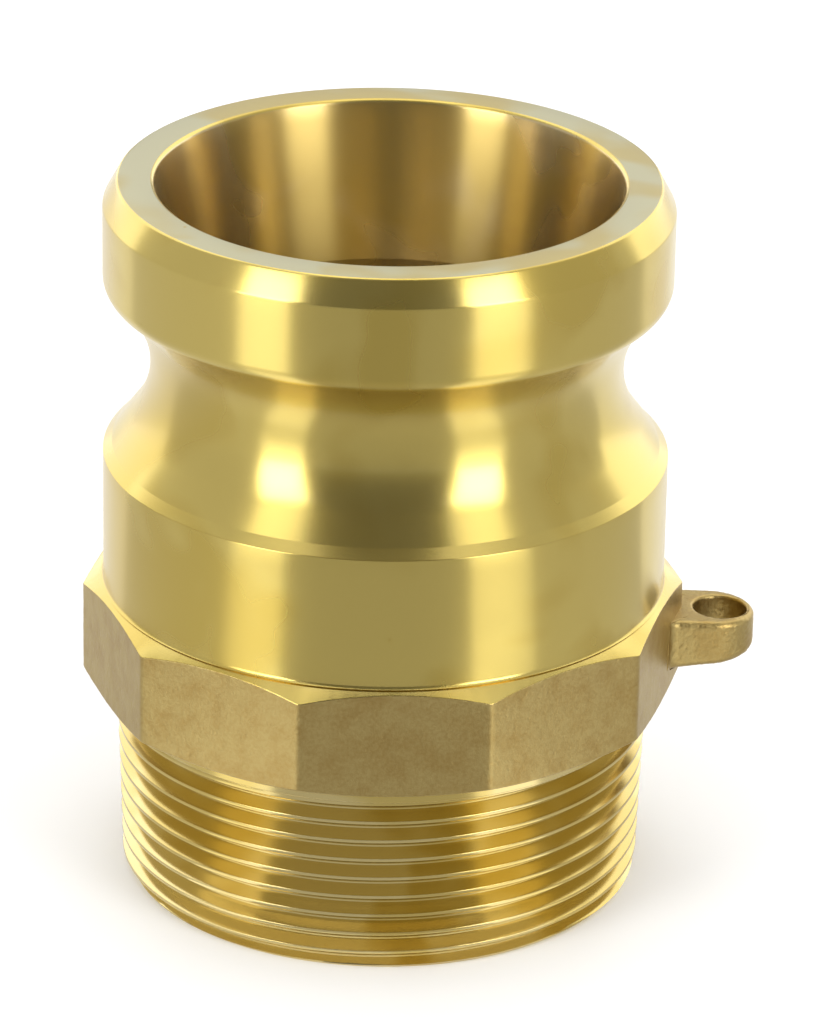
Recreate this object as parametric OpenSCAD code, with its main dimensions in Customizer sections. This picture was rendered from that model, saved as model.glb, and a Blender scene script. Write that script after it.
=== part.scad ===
// Cam and groove adapter, male cam end to male pipe thread, 2 inch size.
// One brass casting, drawn as its working zones, stacked face to face on one axis.
// The origin is the centre of the threaded end's face, +Z runs up to the cam nose,
// and +X runs out through the chain eye.

/* [Cam nose] */
// Outside diameter of the nose ring and of the barrel below the groove
nose_d = 63; // [62:0.1:64]
// Height of the nose ring, from the groove's upper edge to the sealing face
nose_h = 10.9; // [8:0.1:14]
// Width of the flat sealing face
face_w = 3.46; // [2:0.02:5]
// Width of the steep chamfer round the nose, measured across the face
nose_chamfer_w = 1.56; // [0.6:0.02:2.4]
// Height of the steep chamfer round the nose
nose_chamfer_h = 2.86; // [1:0.02:4.5]

/* [Cam groove] */
// Depth of the groove at its waist, below the barrel
groove_depth = 5.25; // [4:0.05:6.5]
// Radius of the groove's round profile
groove_r = 11; // [9:0.1:13]
// Lean of the straight lower flank, from the axis
flank_angle = 37; // [30:1:42]
// Rounding of the nose ring's lower edge
nose_edge_r = 2.1; // [1:0.1:2.6]
// Width and height of the chamfer round the barrel's upper edge
barrel_chamfer = 1; // [0.4:0.1:1.6]

/* [Barrel] */
// Length of the plain barrel between the groove and the wrench collar
barrel_h = 15.2; // [8:0.1:25]

/* [Wrench collar] */
// How far the middle of each of the collar's ten faces stands out past the barrel
collar_step = 0.7; // [0.2:0.1:4]
// Height of the collar
collar_h = 12.6; // [9:0.1:20]
// Angle of the turned cone on the collar's top, from the face
collar_top_angle = 33; // [20:1:50]
// Angle of the chamfer under the collar, from the face
collar_under_angle = 25; // [10:1:40]

/* [Chain eye] */
// Length of the eye, from the collar's corner to its outer end
eye_l = 8.14; // [7.5:0.02:16]
// Width of the eye
eye_w = 9.6; // [8:0.1:11]
// Height of the eye where it leaves the collar
eye_root_h = 6.1; // [5:0.1:8]
// Height of the eye at its outer end
eye_tip_h = 4.4; // [3:0.1:5]
// Chamfer under the eye's outer end
eye_chamfer = 1.2; // [0.4:0.1:2.4]
// Height of the eye's upper face above the collar's lower face
eye_top_h = 8.3; // [7.6:0.1:8.7]
// How much lower the eye's upper face lies at its outer end
eye_fall = 0.4; // [0:0.1:0.8]
// Diameter of the hole for the chain's hook
eye_hole_d = 6; // [4:0.1:6.4]
// Wall left outside the hole
eye_wall = 0.9; // [0.6:0.1:2]

/* [Pipe thread] */
// Length of the thread
thread_l = 20.9; // [14:0.1:30]
// Height of the plain band between the thread and the collar
band_h = 1.8; // [1:0.1:6]
// How far the plain band stands out past the thread's last crest
band_step = 0.25; // [0.1:0.05:0.8]
// Major diameter at the gauge plane
gauge_d = 59.614; // [59:0.001:60]
// Distance from the end to the gauge plane
gauge_l = 15.9; // [13:0.1:18]
// Pitch, eleven threads to the inch
pitch = 2.309; // [1.8:0.001:3]
// Angle between the flanks
thread_angle = 55; // [50:1:60]
// Direction in which a thread root runs out at the end face, from the chain eye
thread_start = 134; // [0:1:359]
// Width of the chamfer that leads the thread into its socket
lead_in = 0.9; // [0.4:0.1:1.4]

/* [Waterway] */
// Width of the chamfer at the mouth
mouth_chamfer = 0.6; // [0.2:0.1:1.2]
// Wall between the throat and the groove's waist
throat_wall = 3.4; // [2.4:0.1:5]
// How far the straight throat runs up from the waist
throat_up = 3.2; // [1:0.1:5]
// How far the straight throat runs down from the waist
throat_down = 8.8; // [4:0.1:12]
// Wall between the bore and the thread's root at the end face
bore_wall = 2.83; // [2:0.01:4.5]
// Chamfer at the threaded end of the bore
bore_chamfer = 0.5; // [0.2:0.1:1.2]

/* [Hidden] */
round_fn = 128;
brass = [0.78, 0.66, 0.32];
cast_brass = [0.62, 0.52, 0.29];

// Heights of the faces where one zone meets the next
collar_z = thread_l + band_h;
barrel_z = collar_z + collar_h;
groove_z = barrel_z + barrel_h;

// Groove profile, from below: chamfer, straight flank, circle round the waist, rounded edge
nose_r = nose_d / 2;
groove_x = nose_r - groove_depth + groove_r;
flank_foot = [nose_r - barrel_chamfer, groove_z + barrel_chamfer];
flank_top_r = groove_x - groove_r * cos(flank_angle);
flank_top = [flank_top_r, flank_foot[1] + (flank_foot[0] - flank_top_r) / tan(flank_angle)];
waist_z = flank_top[1] + groove_r * sin(flank_angle);
edge_x = nose_r - nose_edge_r;
edge_z = waist_z + sqrt((groove_r + nose_edge_r) ^ 2 - (groove_x - edge_x) ^ 2);
edge_touch = [
    groove_x + (edge_x - groove_x) * groove_r / (groove_r + nose_edge_r),
    waist_z + (edge_z - waist_z) * groove_r / (groove_r + nose_edge_r),
];
top_z = edge_z + nose_h;

// Collar: a ten-sided prism with one corner towards the chain eye
collar_sides = 10;
collar_face_r = nose_r + collar_step;
collar_corner_r = collar_face_r / cos(180 / collar_sides);
collar_corner_drop = (collar_corner_r - nose_r) * tan(collar_top_angle);
collar_corner_rise = (collar_corner_r - collar_face_r) * tan(collar_under_angle);

// Chain eye
eye_top_z = collar_z + eye_top_h;
eye_reach = collar_corner_r + eye_l;
eye_hole_x = eye_reach - eye_wall - eye_hole_d / 2;
eye_root_x = collar_face_r - 1;
eye_tip_z = eye_top_z - eye_fall;

// Thread: a sharp form of sharp_h, cut off by a sixth of it at the crest and at the root
taper = 1 / 32;
sharp_h = pitch / 2 / tan(thread_angle / 2);
thread_depth = sharp_h * 2 / 3;
crest_w = pitch / 6;
flank_w = pitch / 2 - crest_w;
thread_fn = 64;
form_points = 4;
function crest_r(z) = gauge_d / 2 + (z - gauge_l) * taper;
lead_r = crest_r(0) - lead_in;
band_r = crest_r(thread_l) + band_step;

// Waterway
mouth_r = nose_r - nose_chamfer_w - face_w - mouth_chamfer;
throat_r = nose_r - groove_depth - throat_wall;
throat_top_z = waist_z + throat_up;
throat_foot_z = waist_z - throat_down;
bore_r = crest_r(0) - thread_depth - bore_wall;

// Place along the axis and depth below the crest of the form's points, from one root's foot
form = [
    [0, thread_depth],
    [crest_w, thread_depth],
    [crest_w + flank_w, 0],
    [2 * crest_w + flank_w, 0],
];

// The space that the water runs through, past both ends
module waterway() {
    rotate_extrude($fn = round_fn)
        polygon([
            [0, -1],
            [bore_r + bore_chamfer + 1, -1],
            [bore_r, bore_chamfer],
            [bore_r, barrel_z],
            [throat_r, throat_foot_z],
            [throat_r, throat_top_z],
            [mouth_r, top_z - mouth_chamfer],
            [mouth_r + mouth_chamfer + 1, top_z + 1],
            [0, top_z + 1],
        ]);
}

module nose_ring() {
    color(brass) difference() {
        rotate_extrude($fn = round_fn)
            polygon([
                [0, edge_z],
                [nose_r, edge_z],
                [nose_r, top_z - nose_chamfer_h],
                [nose_r - nose_chamfer_w, top_z],
                [0, top_z],
            ]);
        waterway();
    }
}

// Half of the neck in section, with no hole: chamfer and flank, round waist, rounded edge
module neck_section() {
    polygon([
        [0, groove_z],
        [nose_r, groove_z],
        flank_foot,
        flank_top,
        [0, flank_top[1]],
    ]);
    difference() {
        translate([0, flank_top[1]]) square([groove_x, edge_touch[1] - flank_top[1]]);
        translate([groove_x, waist_z]) circle(r = groove_r, $fn = round_fn);
    }
    translate([0, edge_touch[1]]) square([edge_x, edge_z - edge_touch[1]]);
    intersection() {
        translate([0, edge_touch[1]]) square([nose_d, edge_z - edge_touch[1]]);
        translate([edge_x, edge_z]) circle(r = nose_edge_r, $fn = round_fn);
    }
}

module cam_groove() {
    color(brass) difference() {
        rotate_extrude($fn = round_fn) neck_section();
        waterway();
    }
}

module barrel() {
    color(brass) difference() {
        translate([0, 0, barrel_z]) cylinder(r = nose_r, h = barrel_h, $fn = round_fn);
        waterway();
    }
}

// The collar without its hole
module collar_blank() {
    intersection() {
        translate([0, 0, collar_z])
            cylinder(r = collar_corner_r, h = collar_h, $fn = collar_sides);
        rotate_extrude($fn = round_fn)
            polygon([
                [0, collar_z],
                [collar_face_r, collar_z],
                [collar_corner_r, collar_z + collar_corner_rise],
                [collar_corner_r, barrel_z - collar_corner_drop],
                [nose_r, barrel_z],
                [0, barrel_z],
            ]);
    }
}

module wrench_collar() {
    color(cast_brass) difference() {
        collar_blank();
        waterway();
    }
}

module chain_eye() {
    color(cast_brass) difference() {
        intersection() {
            translate([0, 0, collar_z]) linear_extrude(collar_h) union() {
                translate([eye_reach - eye_w / 2, 0]) circle(d = eye_w, $fn = round_fn);
                translate([eye_root_x, -eye_w / 2])
                    square([eye_reach - eye_w / 2 - eye_root_x, eye_w]);
            }
            rotate([90, 0, 0]) linear_extrude(eye_w + 2, center = true)
                polygon([
                    [eye_root_x, eye_top_z - eye_root_h],
                    [eye_reach - eye_chamfer, eye_tip_z - eye_tip_h],
                    [eye_reach, eye_tip_z - eye_tip_h + eye_chamfer],
                    [eye_reach, eye_tip_z],
                    [eye_root_x, eye_top_z],
                ]);
        }
        collar_blank();
        translate([eye_hole_x, 0, collar_z]) cylinder(d = eye_hole_d, h = collar_h, $fn = round_fn);
    }
}

module thread_band() {
    color(brass) difference() {
        translate([0, 0, thread_l]) cylinder(r = band_r, h = band_h, $fn = round_fn);
        waterway();
    }
}

// A solid rod with the taper thread on it, longer than the thread at both ends
module threaded_rod() {
    turns = ceil(thread_l / pitch) + 3;
    rows = turns * form_points;
    function form_point(side, row) =
        let (
            turn = floor(row / form_points) - 2,
            step = form[row % form_points],
            angle = 360 * side / thread_fn,
            z = (turn + angle / 360) * pitch + step[0],
            r = crest_r(z) - step[1]
        ) [r * cos(angle), r * sin(angle), z];
    function index(side, row) = side * (rows + 1) + row;
    // The last side meets the first one a turn of rows further up
    function next(side, row) =
        side < thread_fn - 1 ? index(side + 1, row) : index(0, row + form_points);
    points = [
        for (side = [0:thread_fn - 1], row = [0:rows]) form_point(side, row),
        [0, 0, -2.5 * pitch],
        [0, 0, (turns - 1) * pitch],
    ];
    foot = len(points) - 2;
    head = len(points) - 1;
    last = rows - form_points;
    faces = concat(
        [for (side = [0:thread_fn - 1], row = [0:last - 1])
            for (half = [0, 1]) half == 0
                ? [index(side, row), index(side, row + 1), next(side, row + 1)]
                : [index(side, row), next(side, row + 1), next(side, row)]],
        [for (side = [0:thread_fn - 1]) [foot, index(side, 0), next(side, 0)]],
        [for (row = [0:form_points - 1]) [foot, index(0, row + 1), index(0, row)]],
        [for (side = [0:thread_fn - 1]) [head, next(side, last), index(side, last)]],
        [for (row = [last:rows - 1]) [head, index(0, row), index(0, row + 1)]]
    );
    polyhedron(points, faces);
}

module threaded_spigot() {
    color(brass) difference() {
        intersection() {
            rotate([0, 0, thread_start]) threaded_rod();
            rotate_extrude($fn = round_fn)
                polygon([
                    [0, 0],
                    [lead_r, 0],
                    [band_r, band_r - lead_r],
                    [band_r, thread_l],
                    [0, thread_l],
                ]);
        }
        waterway();
    }
}

nose_ring();
cam_groove();
barrel();
wrench_collar();
chain_eye();
thread_band();
threaded_spigot();
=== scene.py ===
"""A two inch cam and groove adapter in brass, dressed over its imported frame.

The casting's turned zones are lathe outlines, its collar and chain eye keep their sand-cast skin, and its
taper pipe thread is cut by a Geometry Nodes tree.
"""

import logging
import math
from collections.abc import Callable
from dataclasses import dataclass
from enum import Enum

import bmesh
import bpy
from mathutils import Matrix, Vector, noise


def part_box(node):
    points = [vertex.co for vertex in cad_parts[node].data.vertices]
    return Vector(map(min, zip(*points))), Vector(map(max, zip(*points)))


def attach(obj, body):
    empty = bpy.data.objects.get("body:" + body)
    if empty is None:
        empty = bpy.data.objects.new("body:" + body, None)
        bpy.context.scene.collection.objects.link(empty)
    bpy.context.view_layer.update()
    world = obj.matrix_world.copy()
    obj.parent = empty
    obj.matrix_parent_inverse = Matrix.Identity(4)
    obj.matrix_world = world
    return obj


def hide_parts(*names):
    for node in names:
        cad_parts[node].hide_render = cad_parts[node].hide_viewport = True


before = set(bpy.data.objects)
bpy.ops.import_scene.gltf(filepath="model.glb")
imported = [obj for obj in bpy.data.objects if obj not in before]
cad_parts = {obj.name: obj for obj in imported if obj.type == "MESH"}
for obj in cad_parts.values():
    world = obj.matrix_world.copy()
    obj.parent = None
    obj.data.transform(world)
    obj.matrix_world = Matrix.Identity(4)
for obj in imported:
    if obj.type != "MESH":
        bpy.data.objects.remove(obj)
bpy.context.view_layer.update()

MM = 0.001
UP = Vector((0, 0, 1))
LATHE_SIDES = 256
LONGEST_EDGE = 2 * MM
SHARP_ANGLE = math.radians(32)
SKIN_DEPTH = 0.2 * MM
LOG = logging.getLogger("adapter")

Outline = list[tuple[float, float]]
Colour = tuple[float, float, float]
Socket = bpy.types.NodeSocket
Inputs = dict[str | int, object]
FaceRule = Callable[[float, float, Vector], int]


# ---- Outlines and meshes ----


@dataclass(frozen=True)
class Corner:
    """A corner of a lathe outline: its radius, its height, and the rounding that the tool or wear leaves."""

    r: float
    z: float
    fillet: float = 0.0


def round_corners(corners: list[Corner], steps: int = 6) -> Outline:
    """Rounds the corners of a closed outline.

    Args:
        corners: the outline's corners, counterclockwise with the radius to the right and the height up.
        steps: how many edges each rounded corner gets.

    Returns:
        The outline's points, counterclockwise.
    """
    points: Outline = []
    for index, corner in enumerate(corners):
        here = Vector((corner.r, corner.z))
        if corner.fillet <= 0:
            points.append((here.x, here.y))
            continue
        before = corners[index - 1]
        after = corners[(index + 1) % len(corners)]
        back = (Vector((before.r, before.z)) - here).normalized()
        ahead = (Vector((after.r, after.z)) - here).normalized()
        half = back.angle(ahead) / 2
        centre = here + (back + ahead).normalized() * corner.fillet / math.sin(half)
        start = here + back * corner.fillet / math.tan(half) - centre
        end = here + ahead * corner.fillet / math.tan(half) - centre
        for step in range(steps + 1):
            spoke = start.slerp(end, step / steps) * corner.fillet
            points.append((centre.x + spoke.x, centre.y + spoke.y))
    return points


def arc(centre: tuple[float, float], radius: float, start: float, end: float, steps: int) -> list[Corner]:
    """Points of an arc in an outline.

    Args:
        centre: radius and height of the arc's centre.
        radius: the arc's radius.
        start: angle of its first point in degrees, from the outward direction.
        end: angle of its last point in degrees.
        steps: how many edges it gets.

    Returns:
        Its points, as corners with no rounding.
    """
    angles = (math.radians(start + (end - start) * step / steps) for step in range(steps + 1))
    return [Corner(centre[0] + radius * math.cos(a), centre[1] + radius * math.sin(a)) for a in angles]


def split_long_edges(outline: Outline, longest: float) -> Outline:
    """Adds points along an outline's straight stretches, so that no edge is longer than longest."""
    points: Outline = []
    for index, (r, z) in enumerate(outline):
        next_r, next_z = outline[(index + 1) % len(outline)]
        pieces = max(1, math.ceil(math.hypot(next_r - r, next_z - z) / longest))
        points += [(r + (next_r - r) * k / pieces, z + (next_z - z) * k / pieces) for k in range(pieces)]
    return points


def mesh_object(name: str, mesh: bpy.types.Mesh) -> bpy.types.Object:
    """Puts a mesh in the scene, smooth but for its sharp edges."""
    mesh.polygons.foreach_set("use_smooth", [True] * len(mesh.polygons))
    mesh.set_sharp_from_angle(angle=SHARP_ANGLE)
    piece = bpy.data.objects.new(name, mesh)
    bpy.context.scene.collection.objects.link(piece)
    return piece


def ring_mesh(name: str, rings: list[list[Vector]]) -> bpy.types.Mesh:
    """Joins closed loops of points into a closed ring-shaped skin.

    Args:
        name: the mesh's name.
        rings: loops with the same number of points, each running counterclockwise in the section, ordered
            counterclockwise round the hole.

    Returns:
        The mesh, with its faces pointing outwards.
    """
    count, length = len(rings), len(rings[0])
    faces = [
        (i * length + j, (i + 1) % count * length + j, (i + 1) % count * length + (j + 1) % length,
         i * length + (j + 1) % length)
        for i in range(count)
        for j in range(length)
    ]
    mesh = bpy.data.meshes.new(name)
    mesh.from_pydata([point for ring in rings for point in ring], [], faces)
    return mesh


def lathe(name: str, outline: Outline, sides: int = LATHE_SIDES) -> bpy.types.Object:
    """Turns a closed outline round the Z axis.

    Args:
        name: the piece's name.
        outline: radius and height of each point, counterclockwise.
        sides: how many steps the turn has.

    Returns:
        The turned piece.
    """
    rings = []
    for side in range(sides):
        turn = math.tau * side / sides
        rings.append([Vector((r * math.cos(turn), r * math.sin(turn), z)) for r, z in outline])
    return mesh_object(name, ring_mesh(name, rings))


def turn_corners(name: str, corners: list[Corner]) -> bpy.types.Object:
    """Turns an outline given by its corners, with no edge too long to shade well."""
    return lathe(name, split_long_edges(round_corners(corners), LONGEST_EDGE))


def quarter(centre: Vector, out: Vector, radius: float, start: float, steps: int) -> list[Vector]:
    """A quarter turn in an upright plane.

    Args:
        centre: the turn's centre.
        out: the plane's level direction.
        radius: the turn's radius.
        start: angle of its first point in degrees, from the level direction.
        steps: how many edges it gets.

    Returns:
        Its points.
    """
    angles = (math.radians(start + 90 * step / steps) for step in range(steps + 1))
    return [centre + (out * math.cos(a) + UP * math.sin(a)) * radius for a in angles]


def between(first: Vector, last: Vector, steps: int) -> list[Vector]:
    """Evenly spaced points between two others, without them."""
    return [first.lerp(last, step / steps) for step in range(1, steps)]


@dataclass(frozen=True)
class SandSkin:
    """The uneven skin that the sand leaves on a casting."""

    depth: float
    grain: float
    lump: float
    grain_share: float
    lump_share: float
    level: float

    def relief(self, point: Vector) -> float:
        """How far the skin lies below its high spots at a point, as a distance of 0 or less."""
        grain = noise.fractal(point / self.grain, 0.8, 2.0, 3) * self.grain_share
        lump = noise.noise(point / self.lump) * self.lump_share
        return self.depth * min(0.0, grain + lump - self.level)


# ---- Finishes ----


class NodeWriter:
    """Short calls that add and join the nodes of a shader or geometry tree."""

    def __init__(self, tree: bpy.types.NodeTree) -> None:
        """Starts on an empty tree."""
        self.tree = tree
        tree.nodes.clear()

    def add(self, kind: str, inputs: Inputs | None = None, **settings: object) -> bpy.types.Node:
        """Adds a node.

        Args:
            kind: the node's type.
            inputs: a value or an output socket for each named or numbered input.
            settings: the node's own settings.

        Returns:
            The new node.
        """
        node = self.tree.nodes.new(kind)
        for setting, value in settings.items():
            setattr(node, setting, value)
        for key, value in (inputs or {}).items():
            self.feed(node.inputs[key], value)
        return node

    def feed(self, socket: Socket, value: object) -> None:
        """Links an output to a socket, or sets its value."""
        if isinstance(value, bpy.types.NodeSocket):
            self.tree.links.new(value, socket)
        else:
            socket.default_value = value

    def math(self, operation: str, *values: object, clamp: bool = False) -> Socket:
        """The result of a Math node."""
        node = self.add("ShaderNodeMath", dict(enumerate(values)), operation=operation, use_clamp=clamp)
        return node.outputs[0]

    def ramp(self, value: object, low: float, high: float, start: float = 0.0, end: float = 1.0) -> Socket:
        """Value from low to high, mapped smoothly to start to end and held there."""
        ends = {0: value, 1: low, 2: high, 3: start, 4: end}
        node = self.add("ShaderNodeMapRange", ends, clamp=True, interpolation_type="SMOOTHSTEP")
        return node.outputs[0]

    def mix(self, share: object, first: object, second: object) -> Socket:
        """The colour between two others, share of the way to the second."""
        node = self.add("ShaderNodeMix", {0: share}, data_type="RGBA")
        colours = [s for s in node.inputs if s.type == "RGBA"]
        for socket, value in zip(colours, (first, second)):
            self.feed(socket, value if isinstance(value, bpy.types.NodeSocket) else (*value, 1.0))
        return next(s for s in node.outputs if s.type == "RGBA")


@dataclass(frozen=True)
class Finish:
    """How a brass surface is left, and how it takes the light."""

    name: str
    colour: Colour
    roughness: float

    def start(self) -> tuple[bpy.types.Material, NodeWriter]:
        """A new material of this name, with an empty tree."""
        material = bpy.data.materials.new(self.name)
        material.use_nodes = True
        material.diffuse_color = (*self.colour, 1.0)
        return material, NodeWriter(material.node_tree)

    def place(self, nodes: NodeWriter) -> tuple[Socket, Socket, Socket]:
        """The point's place in the row frame, its distance from the axis and its height."""
        point = nodes.add("ShaderNodeTexCoord").outputs["Object"]
        parts = nodes.add("ShaderNodeSeparateXYZ", {0: point})
        flat = nodes.add("ShaderNodeCombineXYZ", {0: parts.outputs[0], 1: parts.outputs[1]})
        radius = nodes.add("ShaderNodeVectorMath", {0: flat.outputs[0]}, operation="LENGTH").outputs["Value"]
        return point, radius, parts.outputs[2]


@dataclass(frozen=True)
class TurnedFinish(Finish):
    """Brass off the lathe, with a thin clear film over it.

    Fine lines run round the axis and draw the sheen out across them. Tarnish lies on it in soft clouds,
    and a few pinholes of the casting show.
    """

    tarnish: Colour = (0.51, 0.36, 0.055)
    tarnish_share: float = 0.6
    line_depth: float = 0.5
    anisotropy: float = 0.85
    film: float = 0.3
    film_ior: float = 1.8
    film_roughness: float = 0.16
    line_height: float = 0.000003
    fine_scale: float = 7000.0
    broad_scale: float = 900.0
    broad_share: float = 0.6
    cloud_scale: float = 62.0
    pinhole_scale: float = 190.0
    pinhole_share: float = 0.4

    def build(self) -> bpy.types.Material:
        """Makes the material."""
        material, nodes = self.start()
        point, radius, height = self.place(nodes)
        clouds = {"Vector": point, "Scale": self.cloud_scale, "Detail": 2.0, "Distortion": 0.3}
        cloud = nodes.add("ShaderNodeTexNoise", clouds).outputs[0]
        stain = nodes.ramp(cloud, 0.46, 0.60, 0.0, self.tarnish_share)
        marks = nodes.math("MAXIMUM", stain, self.pinholes(nodes, point))
        base = nodes.mix(marks, self.colour, self.tarnish)
        shine = nodes.ramp(cloud, 0.3, 0.8, self.roughness - 0.02, self.roughness + 0.06)
        bump = self.lines(nodes, radius, height)
        tangent = nodes.add("ShaderNodeTangent", direction_type="RADIAL", axis="Z")
        surface = nodes.add(
            "ShaderNodeBsdfPrincipled",
            {
                "Base Color": base, "Metallic": 1.0, "Roughness": shine, "Normal": bump,
                "Anisotropic": self.anisotropy, "Anisotropic Rotation": 0.25, "Tangent": tangent.outputs[0],
                "Coat Weight": self.film, "Coat IOR": self.film_ior, "Coat Roughness": self.film_roughness,
                "Coat Normal": bump,
            },
        )
        nodes.add("ShaderNodeOutputMaterial", {"Surface": surface.outputs[0]})
        return material

    def lines(self, nodes: NodeWriter, radius: Socket, height: Socket) -> Socket:
        """The normal over the tool's lines, which run round the axis on walls and faces alike.

        Args:
            nodes: the writer of the material's tree.
            radius: the point's distance from the axis.
            height: the point's height.

        Returns:
            The normal, tilted by fine lines and by broader ones under them.
        """
        face_pitch = 1.37
        along = nodes.math("MULTIPLY_ADD", radius, face_pitch, height)
        fine, broad = (
            nodes.add(
                "ShaderNodeTexNoise", {"W": along, "Scale": scale, "Detail": detail}, noise_dimensions="1D"
            )
            for scale, detail in ((self.fine_scale, 2.0), (self.broad_scale, 3.0))
        )
        relief = nodes.math("MULTIPLY_ADD", broad.outputs[0], self.broad_share, fine.outputs[0])
        settings = {"Strength": self.line_depth, "Distance": self.line_height, "Height": relief}
        return nodes.add("ShaderNodeBump", settings).outputs[0]

    def pinholes(self, nodes: NodeWriter, point: Socket) -> Socket:
        """How much a point lies in one of the few dark pinholes of the casting."""
        cells = nodes.add("ShaderNodeTexVoronoi", {"Vector": point, "Scale": self.pinhole_scale})
        dot = nodes.ramp(cells.outputs["Distance"], 0.025, 0.05, 0.8, 0.0)
        pick = nodes.add("ShaderNodeSeparateColor", {0: cells.outputs["Color"]})
        picked = nodes.math("GREATER_THAN", pick.outputs[0], 1 - self.pinhole_share)
        return nodes.math("MULTIPLY", dot, picked)


@dataclass(frozen=True)
class CastFinish(Finish):
    """Brass as it left the sand: matt, grained and lightly pitted."""

    shade: Colour = (0.37, 0.25, 0.08)
    grain_scale: float = 2300.0
    clump_scale: float = 330.0
    pit_scale: float = 900.0
    grain_height: float = 0.00007
    grain_strength: float = 0.75
    roughness_spread: float = 0.06

    def build(self) -> bpy.types.Material:
        """Makes the material."""
        material, nodes = self.start()
        point, _, _ = self.place(nodes)
        grains = {"Vector": point, "Scale": self.grain_scale, "Detail": 4.0, "Roughness": 0.7}
        grain = nodes.add("ShaderNodeTexNoise", grains).outputs[0]
        clumps = {"Vector": point, "Scale": self.clump_scale, "Detail": 4.0}
        clump = nodes.add("ShaderNodeTexNoise", clumps).outputs[0]
        pits = nodes.add("ShaderNodeTexVoronoi", {"Vector": point, "Scale": self.pit_scale})
        pit = nodes.ramp(pits.outputs["Distance"], 0.05, 0.25)
        relief = nodes.math("ADD", nodes.math("MULTIPLY", grain, 0.9), nodes.math("MULTIPLY", pit, 0.3))
        relief = nodes.math("MULTIPLY_ADD", clump, 0.5, relief)
        grain_tint = nodes.ramp(grain, 0.35, 0.65, 0.0, 0.5)
        tint = nodes.math("MULTIPLY_ADD", nodes.ramp(clump, 0.30, 0.62), 0.5, grain_tint)
        base = nodes.mix(tint, self.shade, self.colour)
        settings = {"Strength": self.grain_strength, "Distance": self.grain_height, "Height": relief}
        bump = nodes.add("ShaderNodeBump", settings)
        spread = self.roughness_spread
        shine = nodes.ramp(grain, 0.3, 0.7, self.roughness - spread, self.roughness + spread)
        surface = nodes.add(
            "ShaderNodeBsdfPrincipled",
            {"Base Color": base, "Metallic": 1.0, "Roughness": shine, "Normal": bump.outputs[0]},
        )
        nodes.add("ShaderNodeOutputMaterial", {"Surface": surface.outputs[0]})
        return material


class Slot(Enum):
    """The record's material slots."""

    TURNED = "turned_brass"
    CAST = "cast_brass"


@dataclass(frozen=True)
class Finishes:
    """The adapter's finishes, each made once."""

    turned: bpy.types.Material
    # The faced finish's paler, greyer colour is painted sheen, standing in for the brighter reflection of
    # the upward face.
    faced_painted_sheen: bpy.types.Material
    threaded: bpy.types.Material
    bored: bpy.types.Material
    cast: bpy.types.Material


def make_finishes() -> Finishes:
    """Makes every finish of the adapter."""
    turned = TurnedFinish("brass_turned", (0.61, 0.47, 0.12), 0.25)
    # The sealing face's paler, greyer colour is painted sheen: it stands in for the brighter reflection that
    # the upward face shows. Its rougher, less drawn-out lines are its own.
    faced_painted_sheen = TurnedFinish("brass_faced_painted_sheen", (0.55, 0.515, 0.31), 0.30, anisotropy=0.5, film=0.25)
    threaded = TurnedFinish(
        "brass_thread", (0.63, 0.505, 0.21), 0.17, anisotropy=0.0, line_depth=0.0, film=0.25
    )
    bored = TurnedFinish("brass_bored", (0.595, 0.475, 0.245), 0.26, anisotropy=0.92, film=0.3)
    cast = CastFinish("brass_cast", (0.45, 0.34, 0.13), 0.40)
    return Finishes(turned.build(), faced_painted_sheen.build(), threaded.build(), bored.build(), cast.build())


# ---- The adapter ----


@dataclass(frozen=True)
class Zone:
    """Heights and outer radius of one zone of the casting, read from the frame."""

    node: str
    foot: float
    top: float
    r: float

    @classmethod
    def of(cls, node: str) -> "Zone":
        """The zone that a CAD node holds."""
        low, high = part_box(node)
        return cls(node, low.z, high.z, high.y)


@dataclass(frozen=True)
class Waterway:
    """The hole through the casting: mouth, cone, throat, long cone and bore, from the top down."""

    mouth_r: float = 25.88 * MM
    mouth_z: float = 81.6 * MM
    throat_r: float = 22.85 * MM
    throat_top: float = 64.02 * MM
    throat_foot: float = 52.02 * MM
    bore_r: float = 25.0 * MM
    bore_top: float = 35.3 * MM
    bore_chamfer: float = 0.5 * MM
    bend_round: float = 0.4 * MM
    bend_reach: float = 0.5 * MM

    def bends(self) -> list[tuple[float, float]]:
        """Height and radius of each bend of the wall, from the end face up."""
        return [
            (0.0, self.bore_r), (self.bore_top, self.bore_r), (self.throat_foot, self.throat_r),
            (self.throat_top, self.throat_r), (self.mouth_z, self.mouth_r),
        ]

    def wall(self, top: float, foot: float) -> list[Corner]:
        """The wall between two heights, from the top down, with the bends between them rounded."""
        low, high = foot + self.bend_reach, top - self.bend_reach
        inside = [Corner(r, z, self.bend_round) for z, r in reversed(self.bends()) if low < z < high]
        return [Corner(self.radius(top), top), *inside, Corner(self.radius(foot), foot)]

    def radius(self, z: float) -> float:
        """Radius of the hole at a height."""
        bends = self.bends()
        for (low, low_r), (high, high_r) in zip(bends, bends[1:]):
            if z <= high:
                return low_r + (high_r - low_r) * (z - low) / (high - low)
        return self.mouth_r

    def lines(self, r: float, z: float) -> bool:
        """Whether a face with this centre radius and height lies on the hole's wall."""
        return r < self.radius(z) + SKIN_DEPTH


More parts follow.
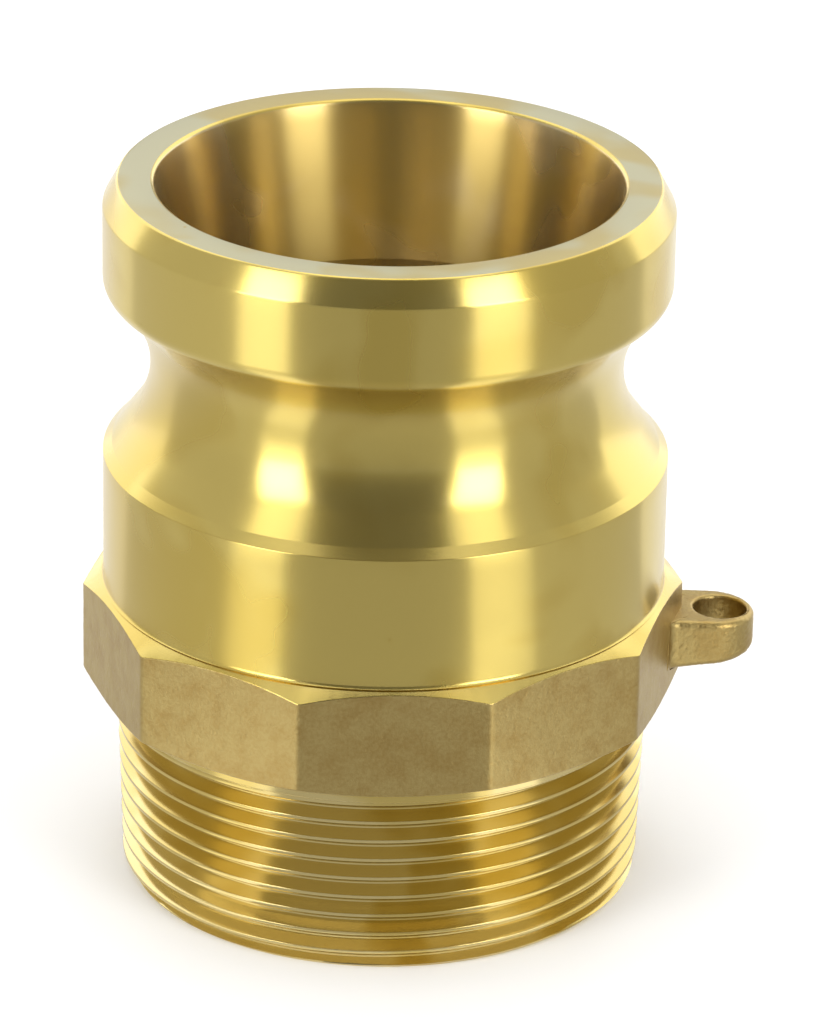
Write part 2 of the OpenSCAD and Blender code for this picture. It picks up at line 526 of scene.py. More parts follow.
class Piece:
    """One zone of the casting, dressed and put in place of its CAD node."""

    def __init__(self, node: str, slot: Slot, waterway: Waterway, finishes: Finishes) -> None:
        """Reads the zone's place from the frame."""
        self.zone = Zone.of(node)
        self.slot = slot
        self.waterway = waterway
        self.finishes = finishes

    def shape(self) -> bpy.types.Object:
        """Builds the zone's skin. Each kind of zone has its own."""
        raise NotImplementedError

    def dress(self, piece: bpy.types.Object) -> None:
        """Gives the skin its finish."""
        piece.data.materials.append(self.finishes.turned)

    def dress_by_place(
        self, piece: bpy.types.Object, finishes: list[bpy.types.Material], choose: FaceRule
    ) -> None:
        """Gives each face one of several finishes.

        Args:
            piece: the piece to dress.
            finishes: the finishes to choose from.
            choose: gives a finish's number for a face's centre radius, centre height and normal.
        """
        for finish in finishes:
            piece.data.materials.append(finish)
        for face in piece.data.polygons:
            centre = face.center
            face.material_index = choose(math.hypot(centre.x, centre.y), centre.z, face.normal)

    def build(self) -> bpy.types.Object:
        """Shapes and dresses the piece, and lets it stand for its node."""
        piece = self.shape()
        self.dress(piece)
        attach(piece, "root")
        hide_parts(self.zone.node)
        LOG.info("%s: %d faces", piece.name, len(piece.data.polygons))
        return piece


@dataclass(frozen=True)
class NoseSizes:
    """The nose ring's own sizes."""

    face_outer_r: float = 29.94 * MM
    chamfer_h: float = 2.86 * MM
    face_round: float = 0.45 * MM
    chamfer_round: float = 0.7 * MM
    mouth_round: float = 0.6 * MM
    mouth_reach: float = 0.25 * MM


class NoseRing(Piece):
    """The chamfered ring round the mouth, with the sealing face on top."""

    sizes = NoseSizes()

    def shape(self) -> bpy.types.Object:
        """The ring's outline, turned."""
        zone, way, sizes = self.zone, self.waterway, self.sizes
        corners = [
            Corner(zone.r, zone.foot),
            Corner(zone.r, zone.top - sizes.chamfer_h, sizes.chamfer_round),
            Corner(sizes.face_outer_r, zone.top, sizes.face_round),
            Corner(way.mouth_r, zone.top, sizes.mouth_round),
            Corner(way.radius(zone.foot), zone.foot),
        ]
        return turn_corners("nose_ring_turned", corners)

    def dress(self, piece: bpy.types.Object) -> None:
        """Turned outside, faced on top and bored inside; the top's paler colour is painted sheen."""
        inside = self.waterway.mouth_r + self.sizes.mouth_reach
        materials = [self.finishes.turned, self.finishes.faced_painted_sheen, self.finishes.bored]

        def choose(r: float, _z: float, normal: Vector) -> int:
            """Finish of a face of the nose ring."""
            if r < inside and abs(normal.z) < 0.5:
                return 2
            # Faces that point straight up get the paler colour, which is painted sheen.
            return 1 if normal.z > 0.98 else 0

        self.dress_by_place(piece, materials, choose)


@dataclass(frozen=True)
class GrooveSizes:
    """The cam groove's own sizes."""

    depth: float = 5.25 * MM
    round_r: float = 11 * MM
    flank_angle: float = 37.0
    edge_r: float = 2.1 * MM
    chamfer: float = 1.0 * MM
    chamfer_round: float = 0.25 * MM
    waist_steps: int = 48
    edge_steps: int = 16


class CamGroove(Piece):
    """The waisted neck that the coupler's cams close into."""

    sizes = GrooveSizes()

    def shape(self) -> bpy.types.Object:
        """Chamfer, straight flank, round waist and rounded edge, from below, turned."""
        zone, sizes = self.zone, self.sizes
        lean = math.radians(sizes.flank_angle)
        centre_r = zone.r - sizes.depth + sizes.round_r
        flank_foot = Corner(zone.r - sizes.chamfer, zone.foot + sizes.chamfer, sizes.chamfer_round)
        flank_top_r = centre_r - sizes.round_r * math.cos(lean)
        flank_top_z = flank_foot.z + (flank_foot.r - flank_top_r) / math.tan(lean)
        waist_z = flank_top_z + sizes.round_r * math.sin(lean)
        edge_centre = (zone.r - sizes.edge_r, zone.top)
        reach = math.degrees(math.atan2(edge_centre[1] - waist_z, centre_r - edge_centre[0]))
        waist_foot, waist_end = 180 + sizes.flank_angle, 180 - reach
        waist = arc((centre_r, waist_z), sizes.round_r, waist_foot, waist_end, sizes.waist_steps)
        edge = arc(edge_centre, sizes.edge_r, -reach, 0, sizes.edge_steps)
        corners = [
            Corner(zone.r, zone.foot), flank_foot, *waist, *edge[1:],
            *self.waterway.wall(zone.top, zone.foot),
        ]
        return turn_corners("cam_groove_turned", corners)

    def dress(self, piece: bpy.types.Object) -> None:
        """Turned outside and bored inside."""
        self.dress_by_place(piece, [self.finishes.turned, self.finishes.bored], self.finish_of)

    def finish_of(self, r: float, z: float, _normal: Vector) -> int:
        """Finish of a face of the neck."""
        return 1 if self.waterway.lines(r, z) else 0


@dataclass(frozen=True)
class BarrelSizes:
    """The barrel's own sizes."""

    foot_flare: float = 0.3 * MM
    foot_round: float = 0.45 * MM
    foot_steps: int = 8
    top_round: float = 0.12 * MM


class Barrel(Piece):
    """The plain turned barrel, with a small hollow radius where it meets the collar."""

    sizes = BarrelSizes()

    def shape(self) -> bpy.types.Object:
        """The barrel's outline, turned."""
        zone, sizes = self.zone, self.sizes
        hollow = (zone.r + sizes.foot_round, zone.foot + sizes.foot_round)
        reach = math.degrees(math.acos(1 - sizes.foot_flare / sizes.foot_round))
        corners = [
            *reversed(arc(hollow, sizes.foot_round, 180, 180 + reach, sizes.foot_steps)),
            Corner(zone.r, zone.top, sizes.top_round),
            *self.waterway.wall(zone.top, zone.foot),
        ]
        return turn_corners("barrel_turned", corners)


class ThreadBand(Piece):
    """The plain turned band between the collar and the thread."""

    foot_round: float = 0.2 * MM

    def shape(self) -> bpy.types.Object:
        """The band's outline, turned."""
        zone = self.zone
        corners = [
            Corner(zone.r, zone.foot, self.foot_round),
            Corner(zone.r, zone.top),
            *self.waterway.wall(zone.top, zone.foot),
        ]
        return turn_corners("thread_band_turned", corners)

    def dress(self, piece: bpy.types.Object) -> None:
        """The band has the thread's finish."""
        piece.data.materials.append(self.finishes.threaded)


@dataclass(frozen=True)
class CollarSizes:
    """The wrench collar's own sizes."""

    faces: int = 10
    seat_r: float = 31.5 * MM
    cone_angle: float = 33.0
    under_angle: float = 25.0
    corner_round: float = 1.1 * MM
    edge_round: float = 0.22 * MM
    edge_steps: int = 4
    face_clear: float = 0.002 * MM
    under_step: float = 0.15 * MM
    face_rows: int = 28
    steps_per_face: int = 72
    cone_reach: float = 5 * MM
    skin: SandSkin = SandSkin(
        depth=0.035 * MM, grain=0.9 * MM, lump=5 * MM, grain_share=0.55, lump_share=1.0, level=0.6
    )


class WrenchCollar(Piece):
    """The ten-sided collar: cast faces, with a turned cone on top that cuts a scallop into each face."""

    sizes = CollarSizes()

    def face_r(self, turn: float) -> float:
        """Radius of the ten-sided outline in a direction, with its corners rounded.

        Args:
            turn: the direction, from the chain eye's corner, in radians.

        Returns:
            The radius, in metres.
        """
        sizes = self.sizes
        pitch = math.tau / sizes.faces
        off_corner = abs((turn + pitch / 2) % pitch - pitch / 2)
        half = pitch / 2
        apothem = self.zone.r - sizes.face_clear
        rounding = sizes.corner_round
        centre_r = (apothem - rounding) / math.cos(half)
        touch = math.atan2(rounding * math.sin(half), centre_r + rounding * math.cos(half))
        if off_corner > touch:
            return apothem / math.cos(half - off_corner)
        across = centre_r * math.sin(off_corner)
        return centre_r * math.cos(off_corner) + math.sqrt(rounding**2 - across**2)

    def section(self, turn: float) -> list[Vector]:
        """The collar's section in one direction, counterclockwise."""
        zone, way, sizes = self.zone, self.waterway, self.sizes
        r = self.face_r(turn)
        cone_z = zone.top - (r - sizes.seat_r) * math.tan(math.radians(sizes.cone_angle))
        under_r = zone.r - sizes.under_step
        under_z = zone.foot + (r - under_r) * math.tan(math.radians(sizes.under_angle))
        corners = [
            Corner(under_r, zone.foot),
            Corner(r, under_z, sizes.edge_round),
            Corner(r, cone_z, sizes.edge_round),
            Corner(sizes.seat_r, zone.top),
            *way.wall(zone.top, zone.foot),
        ]
        outline = round_corners(corners, sizes.edge_steps)
        low_edge = sizes.edge_steps + 1
        foot, head = outline[low_edge][1], outline[low_edge + 1][1]
        rise = [(r, foot + (head - foot) * row / sizes.face_rows) for row in range(1, sizes.face_rows)]
        outline = outline[:low_edge + 1] + rise + outline[low_edge + 1:]
        skin_end = 2 * low_edge + len(rise)
        direction = Vector((math.cos(turn), math.sin(turn), 0))
        points = []
        for index, (radius, z) in enumerate(outline):
            point = direction * radius + UP * z
            if 2 <= index <= skin_end:
                point += direction * sizes.skin.relief(point)
            points.append(point)
        return points

    def shape(self) -> bpy.types.Object:
        """Sections all round the collar, joined."""
        steps = self.sizes.faces * self.sizes.steps_per_face
        rings = [self.section(math.tau * step / steps) for step in range(steps)]
        return mesh_object("wrench_collar_cast", ring_mesh("wrench_collar_cast", rings))

    def dress(self, piece: bpy.types.Object) -> None:
        """Cast on its faces, turned on its cone and bored inside."""
        cone_from = self.zone.foot + self.sizes.cone_reach

        def choose(r: float, z: float, normal: Vector) -> int:
            """Finish of a face of the collar."""
            if self.waterway.lines(r, z):
                return 2
            return 1 if z > cone_from and normal.z > 0.45 else 0

        finishes = [self.finishes.cast, self.finishes.turned, self.finishes.bored]
        self.dress_by_place(piece, finishes, choose)


@dataclass(frozen=True)
class EyeSizes:
    """The chain eye's own sizes."""

    hole_x: float = 38.1 * MM
    hole_r: float = 3.0 * MM
    half_w: float = 4.8 * MM
    root_x: float = 31.3 * MM
    fillet: float = 1.2 * MM
    fillet_x: float = 33.17 * MM
    top_z: float = 31.0 * MM
    top_fall: float = 0.4 * MM
    root_foot_z: float = 24.9 * MM
    tip_foot_z: float = 25.95 * MM
    top_round: float = 0.7 * MM
    foot_round: float = 0.9 * MM
    tip_round: float = 1.15 * MM
    hole_round: float = 0.4 * MM
    tip_steps: int = 64
    side_steps: int = 40
    round_steps: int = 6
    hole_round_steps: int = 4
    flat_steps: int = 4
    rows: int = 14
    skin: SandSkin = SandSkin(
        depth=0.027 * MM, grain=0.5 * MM, lump=3 * MM, grain_share=1.0, lump_share=0.6, level=0.7
    )


class ChainEye(Piece):
    """The cast eye on the collar's corner: a stub with a hole, all edges softened by the sand."""

    sizes = EyeSizes()

    def plan(self) -> list[tuple[Vector, Vector, float]]:
        """The eye in plan.

        Returns:
            A point of the outer edge, the way out of it, and the angle of the hole's edge that faces it.
        """
        s = self.sizes
        tip_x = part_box(self.zone.node)[1].x - s.half_w
        loop = []
        for step in range(-s.tip_steps // 2, s.tip_steps // 2 + 1):
            a = math.pi * step / s.tip_steps
            out = Vector((math.cos(a), math.sin(a), 0))
            loop.append((Vector((tip_x, 0, 0)) + out * s.half_w, out, a))
        sides = []
        for step in range(1, s.side_steps + 1):
            x = tip_x - (tip_x - s.root_x) * math.sin(math.pi / 2 * step / s.side_steps)
            half = s.half_w + self.blend(x)
            sides.append((x, half, math.pi / 2 * (1 + step / (s.side_steps + 4))))
        loop += [(Vector((x, half, 0)), Vector((0, 1, 0)), a) for x, half, a in sides]
        loop += [(Vector((x, -half, 0)), Vector((0, -1, 0)), -a) for x, half, a in reversed(sides)]
        return loop

    def blend(self, x: float) -> float:
        """How far the eye widens into the collar at a distance from the axis."""
        s = self.sizes
        share = min(1.0, max(0.0, (s.fillet_x - x) / s.fillet))
        return s.fillet * (1 - math.sqrt(1 - share * share))

    def heights(self, x: float) -> tuple[float, float]:
        """Heights of the eye's underside and upper face at a distance from the axis."""
        s = self.sizes
        along = (x - s.root_x) / (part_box(self.zone.node)[1].x - s.root_x)
        foot = s.root_foot_z + (s.tip_foot_z - s.root_foot_z) * along
        return foot, s.top_z - s.top_fall * along

    def section(self, outer: Vector, out: Vector, angle: float) -> list[Vector]:
        """The eye's section between its outer edge and the hole.

        Args:
            outer: the point of the outer edge, in plan.
            out: the way out of that edge.
            angle: the angle of the hole's edge that faces it.

        Returns:
            The section's points, counterclockwise from the underside.
        """
        s = self.sizes
        tip = max(0.0, math.cos(angle))
        foot_round = s.foot_round + (s.tip_round - s.foot_round) * tip * tip
        foot, top = self.heights(outer.x)
        low_centre = outer - out * foot_round + UP * (foot + foot_round)
        low = quarter(low_centre, out, foot_round, -90, s.round_steps)
        high_centre = outer - out * s.top_round + UP * (top - s.top_round)
        high = quarter(high_centre, out, s.top_round, 0, s.round_steps)
        facing = Vector((math.cos(angle), math.sin(angle), 0))
        hole = Vector((s.hole_x, 0, 0)) + facing * s.hole_r
        foot, top = self.heights(hole.x)
        rim_centre = hole + facing * s.hole_round
        rim_high = quarter(
            rim_centre + UP * (top - s.hole_round), facing, s.hole_round, 90, s.hole_round_steps
        )
        rim_low = quarter(
            rim_centre + UP * (foot + s.hole_round), facing, s.hole_round, 180, s.hole_round_steps
        )
        wall = between(low[-1], high[0], s.rows)
        roof = between(high[-1], rim_high[0], s.flat_steps)
        lining = between(rim_high[-1], rim_low[0], s.rows)
        floor = between(rim_low[-1], low[0], s.flat_steps)
        return low + wall + high + roof + rim_high + lining + rim_low + floor

    def shape(self) -> bpy.types.Object:
        """Sections from the outer edge to the hole, joined all round the hole and roughened."""
        rings = [self.section(*place) for place in self.plan()]
        mesh = ring_mesh("chain_eye_cast", rings)
        shape = bmesh.new()
        shape.from_mesh(mesh)
        bmesh.ops.recalc_face_normals(shape, faces=shape.faces)
        bmesh.ops.subdivide_edges(shape, edges=shape.edges, cuts=1, use_grid_fill=True)
        for vert in shape.verts:
            vert.co += vert.normal * self.sizes.skin.relief(vert.co)
        shape.to_mesh(mesh)
        shape.free()
        return mesh_object("chain_eye_cast", mesh)

    def dress(self, piece: bpy.types.Object) -> None:
        """As cast all over."""
        piece.data.materials.append(self.finishes.cast)


@dataclass(frozen=True)
class ThreadSizes:
    """The taper pipe thread's own sizes."""

    gauge_r: float = 59.614 / 2 * MM
    gauge_l: float = 15.9 * MM
    pitch: float = 2.309 * MM
    flank_angle: float = 55.0
    form_share: float = 2 / 3
    softening: float = 0.10
    taper: float = 1 / 32
    run_out: float = 0.5 * MM
    lead_in: float = 0.9 * MM
    start: float = 134.0
    sides: int = 192
    rows_per_turn: int = 20
    root_clear: float = 0.1 * MM
    grid_weld: float = 0.002 * MM
    skin_weld: float = 0.003 * MM

    @property
    def depth(self) -> float:
        """Depth of the thread form, which keeps only a share of the sharp form's."""
        return self.pitch / 2 / math.tan(math.radians(self.flank_angle) / 2) * self.form_share

    @property
    def flat(self) -> float:
        """Width of the flat on each crest, as a share of the pitch."""
        return (1 - self.form_share) / 2

    def crest_r(self, z: float) -> float:
        """Radius of the crest at a height."""
        return self.gauge_r + (z - self.gauge_l) * self.taper


class ThreadedSpigot(Piece):
    """The male taper pipe thread, right-handed, cut by Geometry Nodes on a closed spigot."""

    sizes = ThreadSizes()

    def tree(self) -> bpy.types.GeometryNodeTree:
        """Makes the Geometry Nodes tree that cuts the thread.

        Returns:
            A tree whose inputs are the thread's sizes. A flat grid is wound up the axis one pitch a turn,
            held between the two ends, and drawn in towards the axis by the thread's form.
        """
        s = self.sizes
        tree = bpy.data.node_groups.new("taper_thread", "GeometryNodeTree")
        lengths = ("Length", "Pitch", "Foot radius", "Taper", "Depth", "Run-out", "Lead-in", "Start")
        inputs = dict.fromkeys(lengths, "NodeSocketFloat")
        inputs |= dict.fromkeys(("Turns", "Sides", "Rows per turn"), "NodeSocketInt")
        inputs |= {"Finish": "NodeSocketMaterial"}
        for name, kind in inputs.items():
            tree.interface.new_socket(name, in_out="INPUT", socket_type=kind)
        tree.interface.new_socket("Geometry", in_out="OUTPUT", socket_type="NodeSocketGeometry")
        nodes = NodeWriter(tree)
        given = nodes.add("NodeGroupInput").outputs
        rows = nodes.math("MULTIPLY", given["Turns"], given["Rows per turn"])
        grid = nodes.add(
            "GeometryNodeMeshGrid",
            {
                "Size X": 1.0, "Size Y": 1.0,
                "Vertices X": nodes.math("ADD", given["Sides"], 1.0),
                "Vertices Y": nodes.math("ADD", rows, 1.0),
            },
        )
        place = nodes.add("ShaderNodeSeparateXYZ", {0: nodes.add("GeometryNodeInputPosition").outputs[0]})
        turn = nodes.math("ADD", place.outputs[0], 0.5)
        climb = nodes.math("MULTIPLY", nodes.math("ADD", place.outputs[1], 0.5), given["Turns"])
        winding = nodes.math("ADD", nodes.math("SUBTRACT", climb, 1.0), turn)
        free_z = nodes.math("MULTIPLY", winding, given["Pitch"])
        z = nodes.math("MINIMUM", nodes.math("MAXIMUM", free_z, 0.0), given["Length"])
        phase = nodes.math("DIVIDE", z, given["Pitch"])
        phase = nodes.math("SUBTRACT", nodes.math("SUBTRACT", phase, turn), given["Start"])
        sharp = nodes.math("PINGPONG", nodes.math("MULTIPLY", nodes.math("FRACT", phase), 2.0), 1.0)
        form = nodes.math("MULTIPLY_ADD", sharp, 1 / s.form_share, (1 - 1 / s.form_share) / 2)
        form = nodes.math("SMOOTH_MIN", form, 1.0, s.softening)
        form = nodes.math("SMOOTH_MAX", form, 0.0, s.softening)
        left = nodes.math("DIVIDE", nodes.math("SUBTRACT", given["Length"], z), given["Run-out"], clamp=True)
        groove = nodes.math("MULTIPLY", nodes.math("SUBTRACT", 1.0, form), left)
        cut = nodes.math("MULTIPLY", groove, given["Depth"])
        crest = nodes.math("MULTIPLY_ADD", z, given["Taper"], given["Foot radius"])
        lead = nodes.math("ADD", nodes.math("SUBTRACT", given["Foot radius"], given["Lead-in"]), z)
        r = nodes.math("MINIMUM", nodes.math("SUBTRACT", crest, cut), lead)
        angle = nodes.math("MULTIPLY", turn, math.tau)
        point = nodes.add(
            "ShaderNodeCombineXYZ",
            {
                0: nodes.math("MULTIPLY", r, nodes.math("COSINE", angle)),
                1: nodes.math("MULTIPLY", r, nodes.math("SINE", angle)), 2: z,
            },
        )
        moved = nodes.add(
            "GeometryNodeSetPosition", {"Geometry": grid.outputs[0], "Position": point.outputs[0]}
        )
        merged = nodes.add(
            "GeometryNodeMergeByDistance", {"Geometry": moved.outputs[0], "Distance": s.grid_weld}
        )
        real = nodes.add("GeometryNodeRealizeInstances", {"Geometry": merged.outputs[0]})
        dressed = nodes.add(
            "GeometryNodeSetMaterial", {"Geometry": real.outputs[0], "Material": given["Finish"]}
        )
        nodes.add("NodeGroupOutput", {"Geometry": dressed.outputs[0]})
        return tree

    def cut(self) -> bpy.types.Mesh:
        """Runs the tree.

        Returns:
            The threaded skin between the two ends, as a plain mesh.
        """
        s = self.sizes
        length = self.zone.top - self.zone.foot
        values = {
            "Length": length, "Pitch": s.pitch, "Foot radius": s.crest_r(0), "Taper": s.taper,
            "Depth": s.depth, "Run-out": s.run_out, "Lead-in": s.lead_in,
            "Start": s.flat / 2 - s.start / 360, "Turns": math.ceil(length / s.pitch) + 2,
            "Sides": s.sides, "Rows per turn": s.rows_per_turn, "Finish": self.finishes.threaded,
        }
        blank = bpy.data.objects.new("thread_blank", bpy.data.meshes.new("thread_blank"))
        bpy.context.scene.collection.objects.link(blank)
        modifier = blank.modifiers.new("thread", "NODES")
        tree = self.tree()
        modifier.node_group = tree
        for item in tree.interface.items_tree:
            if item.in_out == "INPUT":
                modifier[item.identifier] = values[item.name]
        bpy.context.view_layer.update()
        evaluated = blank.evaluated_get(bpy.context.evaluated_depsgraph_get())
        mesh = bpy.data.meshes.new_from_object(evaluated)
        blank.modifiers.remove(modifier)
        bpy.data.objects.remove(blank)
        return mesh

    def shape(self) -> bpy.types.Object:
        """Closes the threaded skin with the two end faces and the bore."""
        s, zone, way = self.sizes, self.zone, self.waterway
        lining = [
            (s.crest_r(zone.top), zone.top), (way.bore_r, zone.top), (way.bore_r, way.bore_chamfer),
            (way.bore_r + way.bore_chamfer, zone.foot), (s.crest_r(0) - s.depth - s.root_clear, zone.foot),
        ]
        shape = bmesh.new()
        shape.from_mesh(self.cut())
        loops = []
        for r, z in lining:
            turns = (math.tau * side / s.sides for side in range(s.sides))
            loops.append([shape.verts.new((r * math.cos(t), r * math.sin(t), z)) for t in turns])
        for loop, below in zip(loops, loops[1:]):
            for i in range(s.sides):
                j = (i + 1) % s.sides
                shape.faces.new((loop[i], loop[j], below[j], below[i]))
        bmesh.ops.remove_doubles(shape, verts=shape.verts, dist=s.skin_weld)
        rims = [edge for edge in shape.edges if edge.is_boundary]
        bmesh.ops.bridge_loops(shape, edges=rims)
        bmesh.ops.recalc_face_normals(shape, faces=shape.faces)
        mesh = bpy.data.meshes.new("threaded_spigot_cut")
        shape.to_mesh(mesh)
        shape.free()
        return mesh_object("threaded_spigot_cut", mesh)

    def dress(self, piece: bpy.types.Object) -> None:
        """The thread's own finish outside, bored inside."""
        finishes = [self.finishes.threaded, self.finishes.bored]
        self.dress_by_place(piece, finishes, lambda r, z, _normal: int(self.waterway.lines(r, z)))


# ---- The studio ----


def toward(azimuth: float, elevation: float, distance: float) -> Vector:
    """A point in a direction from the adapter.

    Args:
        azimuth: degrees round from the camera's side, to the right as the camera sees it.
        elevation: degrees above the floor.
        distance: distance from the axis, in metres.

    Returns:
        The point.
    """
    turn = math.radians(azimuth - 90 + PhotoCamera.azimuth)
    up = math.radians(elevation)
    return Vector((math.cos(turn) * math.cos(up), math.sin(turn) * math.cos(up), math.sin(up))) * distance


@dataclass(frozen=True)
class PhotoCamera:
    """The camera's place round the adapter and its lens."""

    azimuth: float = -3.0
    elevation: float = 23.572
    roll: float = 1.0896
    distance: float = 684.7 * MM
    aim_right: float = 3.575 * MM
    aim_up: float = 42.58 * MM
    lens_mm: float = 215.03
    sensor_mm: float = 36.0

    def build(self) -> bpy.types.Object:
        """Makes the camera and hands the scene over to it."""
        turn, dip, roll = (math.radians(a) for a in (self.azimuth, self.elevation, self.roll))
        side = Vector((math.cos(turn), math.sin(turn), 0))
        ahead = Vector((-math.sin(turn), math.cos(turn), 0)) * math.cos(dip) - Vector((0, 0, math.sin(dip)))
        above = side.cross(ahead)
        right = side * math.cos(roll) + above * math.sin(roll)
        up = above * math.cos(roll) - side * math.sin(roll)
        aim = side * self.aim_right + Vector((0, 0, self.aim_up))
        data = bpy.data.cameras.new("camera")
        data.lens = self.lens_mm
        data.sensor_width = self.sensor_mm
        data.sensor_fit = "AUTO"
        data.clip_start = 0.01
        camera = bpy.data.objects.new("camera", data)
        camera.matrix_world = Matrix.Translation(aim - ahead * self.distance) @ Matrix(
            (right, up, -ahead)).transposed().to_4x4()
        bpy.context.scene.collection.objects.link(camera)
        bpy.context.scene.camera = camera
        return camera


@dataclass(frozen=True)
class Softbox:
    """A soft rectangular lamp that faces the adapter and that the camera doesn't see."""

    name: str
    azimuth: float
    elevation: float
    distance: float
    width: float
    height: float
    glow: float

    def build(self) -> bpy.types.Object:
        """Makes the lamp."""
        data = bpy.data.lights.new(self.name, "AREA")
        data.shape = "RECTANGLE"
        data.size = self.width
        data.size_y = self.height
        data.energy = self.glow * math.pi * self.width * self.height
        lamp = bpy.data.objects.new(self.name, data)
        place = toward(self.azimuth, self.elevation, self.distance)
        lamp.matrix_world = Matrix.Translation(place) @ place.to_track_quat("Z", "Y").to_matrix().to_4x4()
        lamp.visible_camera = False
        bpy.context.scene.collection.objects.link(lamp)
        return lamp


@dataclass(frozen=True)
class Card:
    """A grey card that shows only in the metal: a patch of a dome round the adapter, or a floor sector.

    A dome card runs from low to high in degrees of elevation, a floor card in metres from the axis.
    """

    name: str
    left: float
    right: float
    low: float
    high: float
    tone: float
    on_floor: bool = False
    dome_r: float = 1.5
    floor_lift: float = 0.5 * MM
    steps: int = 16

    def point(self, across: float, up: float) -> Vector:
        """A point of the card, across and up it from 0 to 1."""
        azimuth = self.left + (self.right - self.left) * across
        reach = self.low + (self.high - self.low) * up
        if self.on_floor:
            return toward(azimuth, 0, reach) + UP * self.floor_lift
        return toward(azimuth, reach, self.dome_r)

    def build(self) -> bpy.types.Object:
        """Makes the card."""
        n = self.steps
        points = [self.point(i / n, j / n) for i in range(n + 1) for j in range(n + 1)]
        corners = [i * (n + 1) + j for i in range(n) for j in range(n)]
        faces = [(c, c + n + 1, c + n + 2, c + 1) for c in corners]
        mesh = bpy.data.meshes.new(self.name)
        mesh.from_pydata(points, [], faces)
        card = bpy.data.objects.new(self.name, mesh)
        bpy.context.scene.collection.objects.link(card)
        material = bpy.data.materials.new(self.name)
        material.use_nodes = True
        nodes = NodeWriter(material.node_tree)
        glow = nodes.add("ShaderNodeEmission", {"Color": (1.0, 1.0, 1.0, 1.0), "Strength": self.tone})
        nodes.add("ShaderNodeOutputMaterial", {"Surface": glow.outputs[0]})
        mesh.materials.append(material)
        card.visible_camera = False
        card.visible_diffuse = False
        card.visible_shadow = False
        card.visible_transmission = False
        return card


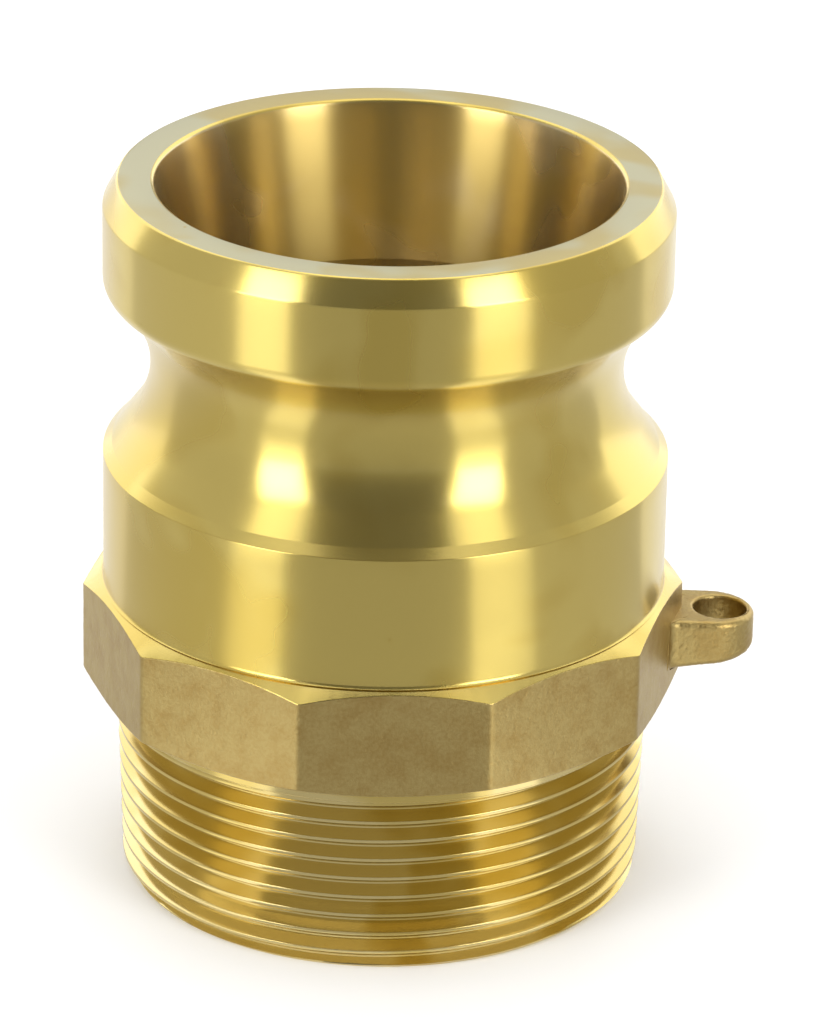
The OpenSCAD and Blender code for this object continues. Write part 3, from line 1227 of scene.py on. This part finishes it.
@dataclass(frozen=True)
class Studio:
    """A pale floor, a white surround, soft lamps and the grey cards that shape what the brass mirrors."""

    floor_half: float = 4.0
    floor_tone: float = 0.96
    lamps: tuple[Softbox, ...] = (
        Softbox("softbox_left", -47.8, 20, 1.0, 0.36, 0.66, 5.0),
        Softbox("softbox_right", 43.5, 20, 1.0, 0.37, 0.66, 5.0),
        Softbox("softbox_top", 180, 78, 0.9, 0.5, 0.5, 1.5),
    )
    cards: tuple[Card, ...] = (
        Card("card_front", -37, 33, 2, 80, 0.20),
        Card("card_left", -116, -58, 0, 60, 0.70),
        Card("card_right", 54, 114, 0, 60, 0.64),
        Card("card_rim_left", -166, -116, 0, 60, 1.9),
        Card("card_rim_right", 114, 166, 0, 60, 1.9),
        Card("card_back", 166, 194, 0, 16, 0.45),
        Card("floor_front_near", -36, 32, 0.036, 0.095, 0.60, on_floor=True),
        Card("floor_front_far", -36, 32, 0.095, 1.3, 0.54, on_floor=True),
        Card("floor_left_near", -58, -36, 0.036, 0.095, 1.7, on_floor=True),
        Card("floor_left_mid", -58, -36, 0.095, 0.18, 0.98, on_floor=True),
        Card("floor_left_far", -56, -37, 0.18, 1.3, 1.9, on_floor=True),
        Card("floor_right_near", 32, 56, 0.036, 0.095, 1.75, on_floor=True),
        Card("floor_right_mid", 32, 56, 0.095, 0.18, 0.98, on_floor=True),
        Card("floor_right_far", 33, 54, 0.18, 1.3, 1.9, on_floor=True),
        Card("floor_side_left_near", -116, -58, 0.036, 0.095, 0.86, on_floor=True),
        Card("floor_side_left_far", -116, -58, 0.095, 1.3, 0.76, on_floor=True),
        Card("floor_side_right_near", 56, 116, 0.036, 0.095, 0.78, on_floor=True),
        Card("floor_side_right_far", 56, 116, 0.095, 1.3, 0.68, on_floor=True),
        Card("floor_rim_left", -170, -116, 0.036, 1.3, 1.1, on_floor=True),
        Card("floor_rim_right", 116, 170, 0.036, 1.3, 1.1, on_floor=True),
    )

    def build(self) -> None:
        """Makes the floor, the surround, the lamps and the cards."""
        self.lay_floor()
        self.light_surround()
        for lamp in self.lamps:
            lamp.build()
        for card in self.cards:
            card.build()
        bpy.context.scene.view_settings.view_transform = "Standard"

    def lay_floor(self) -> None:
        """Lays a pale floor that keeps the adapter's shadow."""
        h = self.floor_half
        mesh = bpy.data.meshes.new("floor")
        mesh.from_pydata([(-h, -h, 0), (h, -h, 0), (h, h, 0), (-h, h, 0)], [], [(0, 1, 2, 3)])
        floor = bpy.data.objects.new("floor", mesh)
        bpy.context.scene.collection.objects.link(floor)
        material = bpy.data.materials.new("floor_pale")
        material.use_nodes = True
        nodes = NodeWriter(material.node_tree)
        tone = (self.floor_tone, self.floor_tone, self.floor_tone, 1.0)
        matt = nodes.add("ShaderNodeBsdfDiffuse", {"Color": tone})
        nodes.add("ShaderNodeOutputMaterial", {"Surface": matt.outputs[0]})
        mesh.materials.append(material)

    def light_surround(self) -> None:
        """Makes the world plain, soft and white."""
        world = bpy.data.worlds.new("surround")
        bpy.context.scene.world = world
        world.use_nodes = True
        nodes = NodeWriter(world.node_tree)
        soft = nodes.add("ShaderNodeBackground", {"Color": (1.0, 1.0, 1.0, 1.0), "Strength": 1.0})
        nodes.add("ShaderNodeOutputWorld", {"Surface": soft.outputs[0]})


# ---- The scene ----


def main() -> None:
    """Builds the camera, the studio and the adapter's pieces, in order."""
    logging.basicConfig(level=logging.INFO, format="%(name)s: %(message)s")
    PhotoCamera().build()
    Studio().build()
    waterway = Waterway()
    finishes = make_finishes()
    pieces = (
        NoseRing("nose_ring", Slot.TURNED, waterway, finishes),
        CamGroove("cam_groove", Slot.TURNED, waterway, finishes),
        Barrel("barrel", Slot.TURNED, waterway, finishes),
        WrenchCollar("wrench_collar", Slot.CAST, waterway, finishes),
        ChainEye("chain_eye", Slot.CAST, waterway, finishes),
        ThreadBand("thread_band", Slot.TURNED, waterway, finishes),
        ThreadedSpigot("threaded_spigot", Slot.TURNED, waterway, finishes),
    )
    for piece in pieces:
        piece.build()


if __name__ == "__main__":
    main()
